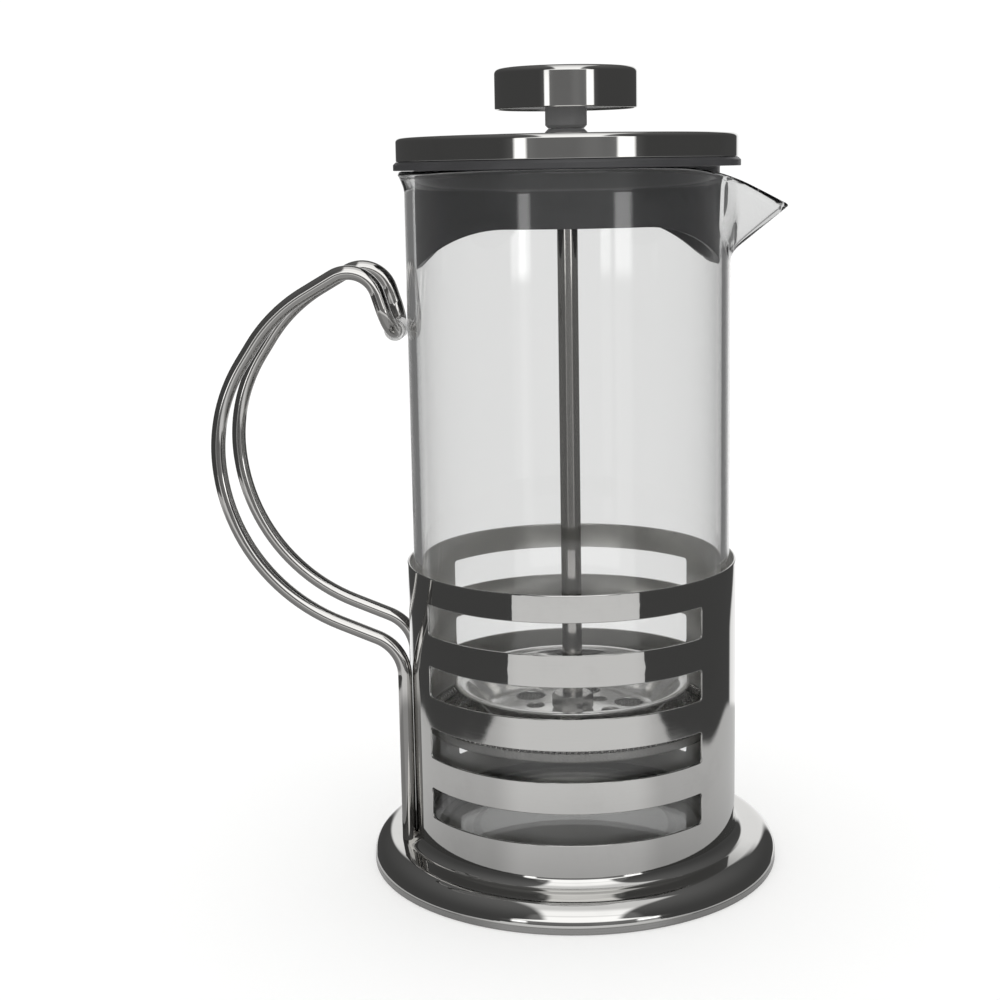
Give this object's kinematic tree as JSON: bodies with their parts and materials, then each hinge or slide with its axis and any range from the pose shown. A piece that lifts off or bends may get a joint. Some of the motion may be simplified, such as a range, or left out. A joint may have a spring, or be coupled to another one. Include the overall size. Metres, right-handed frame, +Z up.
{
  "type": "french press",
  "caption": "Glass french press in a slotted polished steel cage, with a bent wire handle, a steel lid with a plastic skirt, and a plunger with a dished filter that slides through the lid.",
  "frame": {"origin": "on the axis of the press, in the plane of the table that the foot rests on", "axes": "+Z up along the axis of the press, -X towards the handle, +X towards the spout"},
  "size_m": [0.1397, 0.1018, 0.1961],
  "materials": {
    "polished_steel": "mirror-polished stainless steel with fine hairlines",
    "wire_steel": "polished drawn steel wire",
    "rod_steel": "ground stainless steel, lightly polished",
    "mesh_steel": "fine woven stainless wire, matt",
    "black_plastic": "moulded black plastic, satin",
    "grey_plastic": "moulded dark grey plastic, satin",
    "brass_insert": "turned brass",
    "clear_silicone": "translucent silicone",
    "clear_glass": "clear borosilicate glass, fire polished"
  },
  "bodies": {
    "frame": {"base_foot": "polished_steel", "base_pan": "polished_steel", "cage_sleeve": "polished_steel", "handle_wire": "wire_steel", "handle_bumper": "clear_silicone"},
    "beaker": {"glass_beaker": "clear_glass"},
    "lid_guide": {"lid_bush": "grey_plastic"},
    "lid": {"lid_shell": "polished_steel", "lid_insert": "black_plastic", "bush_retainer": "black_plastic"},
    "plunger": {"knob_shell": "polished_steel", "knob_core": "black_plastic", "knob_thread": "brass_insert", "plunger_rod": "rod_steel", "hub_nut": "rod_steel", "cross_plate": "rod_steel", "filter_mesh": "mesh_steel", "filter_spring": "mesh_steel", "filter_dish": "polished_steel", "lock_nut": "rod_steel"}
  },
  "joints": [
    {"name": "beaker_lift", "type": "slide", "parent": "frame", "child": "beaker", "axis": [0, 0, 1], "range_m": [0, 0.072]},
    {"name": "lid_lift", "type": "slide", "parent": "beaker", "child": "lid_guide", "axis": [0, 0, 1], "range_m": [0, 0.142]},
    {"name": "lid_turn", "type": "hinge", "parent": "lid_guide", "child": "lid", "pos_m": [0, 0, 0.18], "axis": [0, 0, 1], "continuous": true},
    {"name": "plunger_slide", "type": "slide", "parent": "lid_guide", "child": "plunger", "axis": [0, 0, 1], "range_m": [0, 0.1095]}
  ]
}
